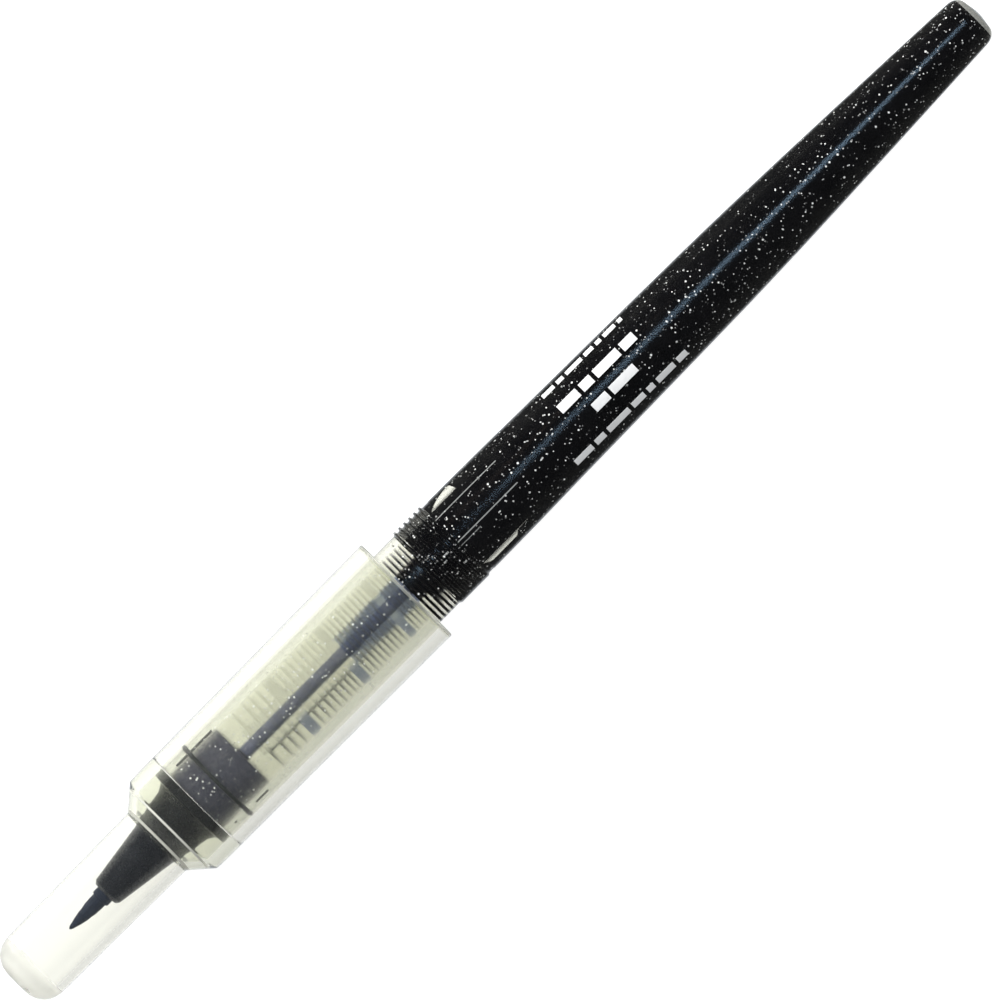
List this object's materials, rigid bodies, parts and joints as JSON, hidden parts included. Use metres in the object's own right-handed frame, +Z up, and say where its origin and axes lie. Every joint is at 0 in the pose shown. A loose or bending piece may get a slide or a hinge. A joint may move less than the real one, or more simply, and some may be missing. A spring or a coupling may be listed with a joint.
{
  "type": "brush pen",
  "caption": "Slim brush pen with a push-on translucent cap, fibre brush tip, comb ink feed, clear glitter barrel with a thread and an ink-filled tapering tank.",
  "frame": {"origin": "centre of the bottom of the box around the capped pen, which lies on its side with the pen axis level", "axes": "+X along the pen axis towards the closed tail, the writing tip points to -X, +Z up"},
  "size_m": [0.112, 0.0104, 0.0105],
  "materials": {
    "cap_plastic": "translucent, slightly milky",
    "nib_fibre": "ink-soaked fibre",
    "black_plastic": "gloss",
    "smoke_plastic": "smoke-grey, translucent",
    "ring_rubber": "satin",
    "feed_fibre": "ink-soaked fibre",
    "comb_plastic": "translucent",
    "plug_plastic": "clear",
    "glitter_plastic": "clear with fine silver glitter",
    "ink": "liquid, black"
  },
  "bodies": {
    "pen": {"nib": "nib_fibre", "mouthpiece": "black_plastic", "relay_holder": "smoke_plastic", "grip_ring": "ring_rubber", "relay_core": "feed_fibre", "collector": "comb_plastic", "tank_plug": "plug_plastic", "barrel": "glitter_plastic", "ink_charge": "ink", "comb_ink": "ink"},
    "cap": {"cap_shell": "cap_plastic"}
  },
  "joints": [
    {"name": "cap_pull", "type": "slide", "parent": "pen", "child": "cap", "axis": [-1, 0, 0], "range_m": [0, 0.048]}
  ]
}
